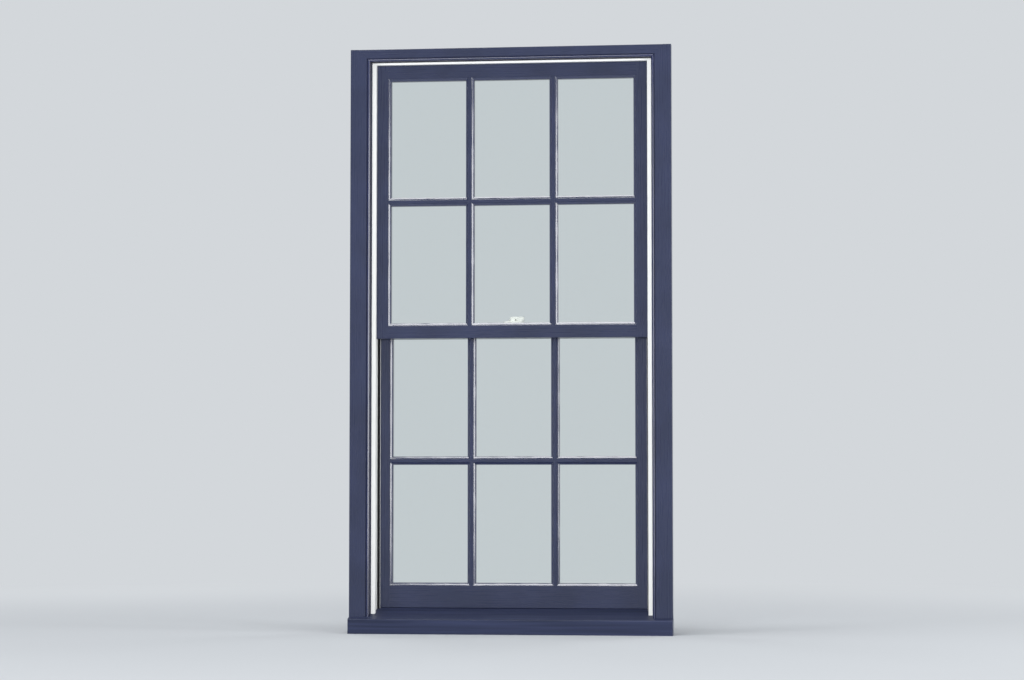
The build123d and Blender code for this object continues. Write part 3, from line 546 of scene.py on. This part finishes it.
def putty_ring(pane, face_y, phase):
    """Section of (inset from the rebate, depth from the face), hollowed by a sine, round a pane."""
    low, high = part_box(pane)
    middle = np.array((low + high) / 2)
    half = np.array(((high.x - low.x) / 2, (high.z - low.z) / 2)) + REBATE_GAP - SEAT_GAP
    width = GLASS_LAP + REBATE_GAP
    depth = low.y - face_y - SEAT_GAP
    down = np.linspace(0, 1, SLOPE_SAMPLES)
    inset = np.concatenate([width * (0.05 + 0.95 * down), [0.6 * width, 0.3 * width, 0, 0, 0]])
    level = np.concatenate([depth * down ** 0.9, [depth, depth, depth, 0.5 * depth, 0.02 * depth]])
    bend = np.concatenate([np.sin(np.pi * down), np.zeros(5)])
    path, along = square_path(SIDE_SAMPLES)
    slow, quick = WAVES_A_SIDE
    wave = np.sin(2 * np.pi * (slow * along + phase))
    wave = wave + 0.6 * np.sin(2 * np.pi * (quick * along + 3 * phase))
    wave = KNIFE_WAVE * wave * np.sin(np.pi * along)
    ring = np.empty((len(path), len(inset), 3))
    ring[..., 0] = middle[0] + path[:, None, 0] * (half[0] - inset)
    ring[..., 2] = middle[2] + path[:, None, 1] * (half[1] - inset)
    ring[..., 1] = face_y + level + bend * (KNIFE_HOLLOW + wave[:, None])
    return ring


chance = np.random.default_rng(11)
for sash in ("upper", "lower"):
    face_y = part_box(f"{sash}_stile_left")[0].y
    rings = [putty_ring(f"{sash}_pane_{number}", face_y, chance.random()) for number in range(1, 7)]
    make_piece(
        f"{sash}_putty_lines", rings, True,
        putty_paint, f"{sash}_sash", "glazing_putty", f"{sash}_putty",
    )

# %% [markdown]
# ## A bead with flats and a line of painted shade round the opening
# A bead that is worked with a hand plane isn't quite round: it keeps two flats that meet at its
# crest, and paint gathers on it. The flat that faces the light shows as a thin bright line on the
# casing. Behind the bead, a blue-black wedge runs from the casing's edge down to the vinyl: painted
# shade, standing for the shadow in the gap between them. Both are a section carried up one side,
# across the head and down the other, so the mitres come by themselves: a point of the section keeps
# its distance from the edge of the casing on every side.

# %% Bead and painted shade wedge
BEAD_WIDTH = 0.008
BEAD_PROUD = 0.00175  # where the flats meet beyond the round bead, before the crest is rounded
CREST_ROUNDING = 0.00025
FLAT_SAMPLES = 13
SILL_NOSE_HEIGHT = 0.046
SILL_SLOPE = np.tan(np.radians(14))
SHADE_WEDGE_LAP = 0.0028
SHADE_WEDGE_LAP_HEAD = 0.0008
WEDGE_LEAN = 0.12  # share of the lap that grows evenly from the bead to the vinyl
WEDGE_POWER = 6  # how late the rest of the lap flares out
WEDGE_SAMPLES = 9


def opening_trim(side, head, side_out, head_out, y):
    """Section points at a distance out from a side piece's and a head piece's edge, from foot to foot."""
    edge = -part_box(side)[1].x
    head_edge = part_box(head)[0].z
    foot = SILL_NOSE_HEIGHT + (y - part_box("sill")[0].y) * SILL_SLOPE
    trim = np.empty((4, len(y), 3))
    trim[..., 0] = np.array([-1, -1, 1, 1])[:, None] * (edge + side_out)
    trim[..., 1] = y
    trim[..., 2] = np.stack([foot, head_edge + head_out, head_edge + head_out, foot])
    return trim


casing_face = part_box("casing_left")[0].y
liner_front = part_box("jamb_liner_left")[0].y
across = np.linspace(-BEAD_WIDTH / 2, BEAD_WIDTH / 2, FLAT_SAMPLES)
flats = casing_face - BEAD_PROUD + np.sqrt(across ** 2 + CREST_ROUNDING ** 2)
quirk_floor = casing_face + BEAD_WIDTH / 2
out = np.concatenate([[0], across + BEAD_WIDTH / 2, [BEAD_WIDTH]])
bead_y = np.concatenate([[quirk_floor], flats, [quirk_floor]])
make_piece(
    "casing_bead_flats", [opening_trim("casing_left", "head_casing", out, out, bead_y)], False,
    bead_paint, "window_frame", "painted_wood",
)
# The wedge is painted shade: a blue-black sheet put where only the gap's shadow falls.
fall = np.linspace(0, 1, WEDGE_SAMPLES)
wedge_y = quirk_floor + (liner_front - quirk_floor) * np.append(fall, 1)
wedge_out = np.append(-(WEDGE_LEAN * fall + (1 - WEDGE_LEAN) * fall ** WEDGE_POWER), 0.0)
wedge = opening_trim(
    "casing_left", "head_casing", SHADE_WEDGE_LAP * wedge_out, SHADE_WEDGE_LAP_HEAD * wedge_out, wedge_y
)
make_piece("casing_painted_shade_wedge", [wedge], False, shade_wedge_finish, "window_frame", "weatherstrip")

# %% [markdown]
# ## Pile on the parting ribs
# A rib of vinyl parts the tracks of the two sashes. Towards the street it carries a strip of wool
# pile, on which the back of a real upper sash brushes. Here the strip ends half a millimetre short of
# the sash, so that nothing touches. Below that sash it shows as a dark line between the white vinyl
# and the lower sash: the pile is made near-black so that it also paints the shade deep in the track.
# Its section is a low superellipse rooted in the vinyl, carried round the opening as the painted
# shade wedge is.

# %% Parting pile
PILE_WIDTH = 0.0086
PILE_HEIGHT = 0.0016
PILE_ROOT = 0.0001
PILE_SAMPLES = 15
PILE_POWER = 5
RIB_EDGE_BARE = 0.0003
TRACK_CLEARANCE = 0.002  # back of the upper sash to the rib

rib_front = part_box("upper_stile_left")[1].y + TRACK_CLEARANCE
turn = np.linspace(0, np.pi, PILE_SAMPLES)
across = np.sign(np.cos(turn)) * np.abs(np.cos(turn)) ** (2 / PILE_POWER)
bulge = np.abs(np.sin(turn)) ** (2 / PILE_POWER)
pile_out = RIB_EDGE_BARE + PILE_WIDTH / 2 * (1 + across)
# Near-black, this strip also paints the shade deep in the track.
tufted = opening_trim(
    "jamb_liner_left", "head_liner", pile_out, pile_out, rib_front + PILE_ROOT - PILE_HEIGHT * bulge
)
make_piece("parting_pile_and_painted_shade", [tufted], False, pile_and_track_shade, "window_frame", "weatherstrip")

# %% [markdown]
# ## Twisted balance rods
# A spiral balance winds its spring with a flat steel strip, twisted along its length, that is pulled
# through a slotted bush. The strip is a rounded rectangle turned through an angle that grows with
# height. The angle is counted from the bush, so that at rest the strip lies straight in its slot.

# %% Rods
ROD_WIDTH = 0.005
ROD_THICKNESS = 0.0016
ROD_PITCH = 0.046
ROD_STEP = 0.0023
ROD_IN_SHOE = 0.004
ROD_SAMPLES = 20
ROD_POWER = 6


def twisted_rod(x, y, bottom, top, slot_z):
    """Superellipse, half as thick and half as wide as the strip, turned by 2 pi z / pitch."""
    height = np.arange(bottom, top, ROD_STEP)[:, None]
    turn = np.linspace(0, 2 * np.pi, ROD_SAMPLES, endpoint=False)[None, :]
    across = np.sign(np.cos(turn)) * np.abs(np.cos(turn)) ** (2 / ROD_POWER) * ROD_THICKNESS / 2
    wide = np.sign(np.sin(turn)) * np.abs(np.sin(turn)) ** (2 / ROD_POWER) * ROD_WIDTH / 2
    angle = 2 * np.pi * (height - slot_z) / ROD_PITCH
    rod = np.empty((len(height), turn.shape[1], 3))
    rod[..., 0] = x + across * np.cos(angle) - wide * np.sin(angle)
    rod[..., 1] = y + across * np.sin(angle) + wide * np.cos(angle)
    rod[..., 2] = height
    return rod


for sash in ("upper", "lower"):
    low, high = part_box(f"{sash}_balance_rods")
    shoe_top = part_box(f"{sash}_balance_shoes")[1].z
    tube_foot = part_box("balance_bushes")[0].z if sash == "upper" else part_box("balance_bushes")[1].z
    rod_x = high.x - ROD_THICKNESS / 2
    rod_y = (low.y + high.y) / 2
    rod_foot = shoe_top - ROD_IN_SHOE
    rods = [twisted_rod(side * rod_x, rod_y, rod_foot, high.z, tube_foot) for side in (-1, 1)]
    make_piece(
        f"{sash}_twisted_rods", rods, False,
        zinc, f"{sash}_sash", "balance_steel", f"{sash}_balance_rods",
    )

# %% [markdown]
# ## Bulb weatherstrips
# A strip is a flat root with a soft bulb that closes the gap. Its section is the lower half of a
# superellipse, and it is carried along X. Under the bottom rail the bulb leans with the slope of the
# sill, so the section is sheared.

# %% Three strips
BULB_SAMPLES = 15
BULB_STATIONS = 90
BULB_POWER = 2.6
BULB_SAG = 0.04  # share of the depth
BULB_SAG_RATE = 37  # radians of sag to the metre


def bulb_strip(node_name, across, depth, shear):
    """Half a superellipse below the root, as wide and as deep as the node's box, carried along X."""
    low, high = (np.array(corner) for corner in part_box(node_name))
    turn = np.linspace(0, np.pi, BULB_SAMPLES)
    side = np.sign(np.cos(turn)) * np.abs(np.cos(turn)) ** (2 / BULB_POWER)
    bulge = np.abs(np.sin(turn)) ** (2 / BULB_POWER)
    stations = np.linspace(low[0], high[0], BULB_STATIONS)
    sag = 1 - BULB_SAG * np.sin(stations * BULB_SAG_RATE) ** 2
    half = (high[across] - low[across]) / 2
    reach = high[depth] - low[depth] - shear * half
    strip = np.empty((len(stations), BULB_SAMPLES, 3))
    strip[..., 0] = stations[:, None]
    strip[..., across] = (low[across] + high[across]) / 2 + half * side
    strip[..., depth] = high[depth] - reach * bulge * sag[:, None] + shear * half * side * bulge
    return strip


for node_name, body, across, depth, shear in (
    ("head_weatherstrip", "window_frame", 1, 2, 0.0),
    ("sill_weatherstrip", "lower_sash", 1, 2, SILL_SLOPE),
    ("check_weatherstrip", "lower_sash", 2, 1, 0.0),
):
    strip = bulb_strip(node_name, across, depth, shear)
    make_piece(f"{node_name}_bulb", [strip], False, rubber, body, "weatherstrip", node_name)

# %% [markdown]
# ## The lock's handle
# The handle of a cam lock is a small die casting: a round hub and a finger grip that reaches down
# beside the cam. Seen from above it is the hull of two circles, so the half width at a station is the
# largest chord of all the circles between them. Each cross-section has upright sides down to the
# underside and half a superellipse on top, which gives the crowned top with soft edges that a casting
# has. The underside steps down where the grip starts.

# %% Handle
HUB_RADIUS = 0.011
TIP_RADIUS = 0.005
TIP_REACH = 0.030
GRIP_START = 0.0094
GRIP_DROP = 0.005
CROWN = 0.0034
CROWN_POWER = 4
CROWN_SAMPLES = 33
HULL_CIRCLES = 400
HULL_STATIONS = 90
STEP_LENGTH = 0.0008  # over which the underside steps down
END_ROUNDING = 0.003  # half width below which the top falls away
HANDLE_HEIGHTS = np.array(  # distance from the pivot, height above the base
    [(-0.011, 0.0072), (0.0, 0.0078), (0.027, 0.0080), (0.035, 0.0073)]
)
SHAFT_RADIUS = 0.003
SHAFT_SAMPLES = 40


def hull_half_width(x):
    """Largest sqrt(r^2 - (x - c)^2) over the circles that slide from the hub to the tip."""
    share = np.linspace(0, 1, HULL_CIRCLES)
    middle = TIP_REACH * share
    radius = HUB_RADIUS + (TIP_RADIUS - HUB_RADIUS) * share
    chord = radius ** 2 - (x[:, None] - middle) ** 2
    return np.sqrt(np.maximum(chord, 1e-10).max(axis=1))


def handle_shell(pivot_y, base_z):
    """Sections along X: width from the hull, height from the table, crowned top, stepped underside."""
    reach = TIP_REACH + TIP_RADIUS
    share = (1 - np.cos(np.linspace(0.02, np.pi - 0.02, HULL_STATIONS))) / 2
    step = np.linspace(GRIP_START - STEP_LENGTH / 2, GRIP_START + STEP_LENGTH / 2, 7)
    x = np.sort(np.concatenate([-HUB_RADIUS + (reach + HUB_RADIUS) * share, step]))
    width = hull_half_width(x)
    height = np.interp(x, HANDLE_HEIGHTS[:, 0], HANDLE_HEIGHTS[:, 1])
    height *= np.minimum(1, width / END_ROUNDING) ** 0.5
    under = -GRIP_DROP * np.clip((x - GRIP_START) / (STEP_LENGTH / 2) + 0.5, 0, 1)
    spring = height - np.minimum(CROWN, 0.8 * height)
    turn = np.linspace(0, np.pi, CROWN_SAMPLES)
    across = np.sign(np.cos(turn)) * np.abs(np.cos(turn)) ** (2 / CROWN_POWER)
    side = np.concatenate([[1.0], across, [-1.0]])
    crown = np.concatenate([[0.0], np.abs(np.sin(turn)) ** (2 / CROWN_POWER), [0.0]])
    shell = np.empty((len(x), len(side), 3))
    shell[..., 0] = x[:, None]
    shell[..., 1] = pivot_y + width[:, None] * side
    shell[..., 2] = base_z + spring[:, None] + (height - spring)[:, None] * crown
    shell[:, (0, -1), 2] = base_z + under[:, None]
    return shell


def shaft(pivot_y, bottom, top):
    """A circle of the shaft's radius, carried up Z."""
    turn = np.linspace(0, 2 * np.pi, SHAFT_SAMPLES, endpoint=False)[None, :]
    height = np.linspace(bottom, top, 4)[:, None]
    return np.stack(np.broadcast_arrays(
        SHAFT_RADIUS * np.cos(turn), pivot_y + SHAFT_RADIUS * np.sin(turn), height
    ), axis=-1)


low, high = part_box("lock_lever")
pivot_y = (low.y + high.y) / 2
base_z = high.z - HANDLE_HEIGHTS[:, 1].max()
make_piece(
    "lock_handle", [handle_shell(pivot_y, base_z), shaft(pivot_y, low.z, base_z + 0.001)], False,
    enamel, "lock_lever", "white_enamel", "lock_lever",
)

# %% [markdown]
# ## Cross-slotted screws
# A screw is turned, so it starts as a profile of radius and height carried round its axis. The cross
# is pressed into the head: where a point falls inside either arm, its height sinks by the same depth,
# and by less on the slopes at the arm's sides and ends.

# %% Screws
HEAD_RADIUS = 0.0038
SHANK_RADIUS = 0.0017
SCREW_LENGTH = 0.019
ARM_HALF_WIDTH = 0.0005
ARM_REACH = 0.0021
ARM_DEPTH = 0.0014
ARM_SIDE_SLOPE = 0.0002
ARM_END_SLOPE = 0.0006
DOME_SAMPLES = 26
TURN_SAMPLES = 72


def screw_tube(place, rise, upright):
    """Dome r -> rise (1 - (r / R)^3), less the cross, then the rim, the seat and the shank."""
    turn = np.linspace(0, 2 * np.pi, TURN_SAMPLES, endpoint=False)[None, :]
    dome = np.linspace(0.0001, HEAD_RADIUS, DOME_SAMPLES)
    radius = np.concatenate([dome, [HEAD_RADIUS] * 2, [SHANK_RADIUS] * 2, [0.0002]])
    top = 0.00015 + rise * (1 - (dome / HEAD_RADIUS) ** 3)
    height = np.concatenate([top, [0.0001, -0.0002, -0.0022, -SCREW_LENGTH + 0.003, -SCREW_LENGTH]])
    a, b = radius[:, None] * np.cos(turn), radius[:, None] * np.sin(turn)
    arms = [
        np.clip((ARM_HALF_WIDTH - np.abs(p)) / ARM_SIDE_SLOPE + 0.5, 0, 1)
        * np.clip((ARM_REACH - np.abs(q)) / ARM_END_SLOPE, 0, 1)
        for p, q in ((a, b), (b, a))
    ]
    on_dome = (np.arange(len(radius)) < DOME_SAMPLES)[:, None]
    sunk = height[:, None] - ARM_DEPTH * np.maximum(*arms) * on_dome
    if upright:
        return np.stack([place[0] + a, place[1] + b, place[2] + sunk], axis=-1)
    return np.stack([place[0] + a, place[1] + sunk, place[2] - b], axis=-1)


def screw_places(node_name, xs, upright):
    """Head faces of a group of screws: given in X, and from the node's box otherwise."""
    low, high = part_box(node_name)
    y = (low.y + high.y) / 2 if upright else high.y - 0.002
    z = high.z if upright else (low.z + high.z) / 2
    return [(x, y, z) for x in xs]


for node_name, xs, rise, body in (
    ("keeper_screws", (-0.021, 0.021), 0.0, "upper_sash"),
    ("lock_screws", (-0.026, 0.026), 0.0, "lower_sash"),
    ("sash_lift_screws", (-0.287, -0.245, 0.245, 0.287), 0.0017, "lower_sash"),
):
    upright = rise == 0.0
    screws = [screw_tube(place, rise, upright) for place in screw_places(node_name, xs, upright)]
    make_piece(f"{node_name}_cross_slotted", screws, False, zinc, body, "screw_steel", node_name)

# %% [markdown]
# ## Floor and background
# The window stands on a pale floor that fades into an equally pale background, so no horizon crosses
# the panes. Far from the window the floor stops being lit and simply shows the background's colour.
# Light Path's camera, glossy and transmission rays see that colour, and all other rays see the softer
# light that fills the room.

# %% Floor and world
BACKGROUND = "#d3d7db"
FLOOR_COLOUR = "#cbcfd3"
ROOM_LIGHT = "#eef1f6"
ROOM_LIGHT_STRENGTH = 0.28
FLOOR_RADIUS = 30.0
FLOOR_SIDES = 96
FADE_FROM = 1.1
FADE_TO = 4.4

floor_mesh = bpy.data.meshes.new("floor")
angles = np.linspace(0, 2 * np.pi, FLOOR_SIDES, endpoint=False)
rim = FLOOR_RADIUS * np.stack([np.cos(angles), np.sin(angles), np.zeros(FLOOR_SIDES)], axis=-1)
floor_mesh.from_pydata(rim, [], [list(range(FLOOR_SIDES))])
floor = bpy.data.objects.new("floor", floor_mesh)
bpy.context.scene.collection.objects.link(floor)

floor_finish = new_material("pale_studio_floor")
tree = floor_finish.node_tree
place = node(tree, "ShaderNodeTexCoord", {}, {}).outputs["Object"]
distance = node(tree, "ShaderNodeVectorMath", {"operation": "LENGTH"}, {0: place})
fade = node(
    tree, "ShaderNodeMapRange", {"interpolation_type": "SMOOTHSTEP"},
    {
        "Value": distance.outputs["Value"], "From Min": FADE_FROM, "From Max": FADE_TO,
        "To Min": 0.0, "To Max": 1.0,
    },
)
lit = node(tree, "ShaderNodeBsdfDiffuse", {}, {"Color": linear(FLOOR_COLOUR)})
unlit = node(tree, "ShaderNodeEmission", {}, {"Color": linear(BACKGROUND), "Strength": 1.0})
surface(tree, node(
    tree, "ShaderNodeMixShader", {}, {0: fade.outputs["Result"], 1: lit.outputs[0], 2: unlit.outputs[0]},
))
floor_mesh.materials.append(floor_finish)

world = bpy.data.worlds.new("studio")
bpy.context.scene.world = world
world.use_nodes = True
tree = world.node_tree
tree.nodes.clear()
ray = node(tree, "ShaderNodeLightPath", {}, {})
seen = node(
    tree, "ShaderNodeMath", {"operation": "MAXIMUM"},
    {0: ray.outputs["Is Camera Ray"], 1: ray.outputs["Is Glossy Ray"]},
)
seen = node(
    tree, "ShaderNodeMath", {"operation": "MAXIMUM"},
    {0: seen.outputs[0], 1: ray.outputs["Is Transmission Ray"]},
)
ambient = node(
    tree, "ShaderNodeBackground", {}, {"Color": linear(ROOM_LIGHT), "Strength": ROOM_LIGHT_STRENGTH},
)
backdrop = node(tree, "ShaderNodeBackground", {}, {"Color": linear(BACKGROUND), "Strength": 1.0})
mixed = node(
    tree, "ShaderNodeMixShader", {}, {0: seen.outputs[0], 1: ambient.outputs[0], 2: backdrop.outputs[0]},
)
node(tree, "ShaderNodeOutputWorld", {}, {"Surface": mixed.outputs[0]})
print("floor fades out from", FADE_FROM, "to", FADE_TO, "m")

# %% [markdown]
# ## Soft light
# Outdoors, a window is lit by the sky above it and by the open side of the street. Two soft boxes
# stand where the putty lines and beads mirror them: a bank overhead, whose image glints on every
# up-facing slope, and a bank to the right that does the same for the right-facing ones. Three keys in
# front and two fills on the room side only give light: no surface mirrors them, so the panes stay
# clear. A lamp's power is its radiance times its area times pi, so each is set by how bright it
# looks.

# %% Seven soft boxes
def soft_box(name, place, target, width, height, radiance, mirrored):
    """An area lamp of width x height whose power is radiance x area x pi, turned towards the target."""
    lamp = bpy.data.lights.new(name, "AREA")
    lamp.shape = "RECTANGLE"
    lamp.size = width
    lamp.size_y = height
    lamp.energy = radiance * width * height * np.pi
    made = bpy.data.objects.new(name, lamp)
    bpy.context.scene.collection.objects.link(made)
    made.location = place
    made.rotation_euler = (Vector(target) - Vector(place)).to_track_quat("-Z", "Y").to_euler()
    made.visible_camera = False
    made.visible_transmission = False
    made.visible_glossy = mirrored
    print(name, round(lamp.energy), "W")


window_middle = (Vector(cad_box[0]) + Vector(cad_box[1])) / 2
soft_box("overhead_bank", (-0.55, -0.75, 6.0), window_middle, 2.6, 1.8, 8.0, True)
soft_box("right_bank", (4.4, -1.15, 1.2), window_middle, 1.3, 2.2, 8.0, True)
soft_box("street_key", (-0.2, -6.8, 1.5), window_middle, 3.0, 2.4, 10.0, False)
soft_box("left_key", (-4.2, -4.2, 1.6), window_middle, 2.2, 2.4, 7.5, False)
soft_box("right_key", (4.0, -4.4, 1.6), window_middle, 2.2, 2.4, 5.0, False)
soft_box("room_left_fill", (-3.6, 4.6, 1.9), window_middle, 2.6, 2.6, 5.5, False)
soft_box("room_right_fill", (3.6, 4.6, 1.9), window_middle, 2.6, 2.6, 5.5, False)

# %% [markdown]
# ## Camera
# The photograph looks up a little at the window from the right, from about eight metres. The lens is
# long enough for the window to fill most of the picture's height.

# %% Camera and colour management
CAMERA_PLACE = (0.94, -8.10, 0.47)
LENS = 91.0

camera = bpy.data.objects.new("camera", bpy.data.cameras.new("camera"))
bpy.context.scene.collection.objects.link(camera)
camera.location = CAMERA_PLACE
camera.rotation_euler = (window_middle - Vector(CAMERA_PLACE)).to_track_quat("-Z", "Y").to_euler()
camera.data.lens = LENS
camera.data.sensor_width = 36.0
bpy.context.scene.camera = camera
bpy.context.scene.view_settings.view_transform = "Standard"
print("camera", round((window_middle - Vector(CAMERA_PLACE)).length, 2), "m from the window's middle")
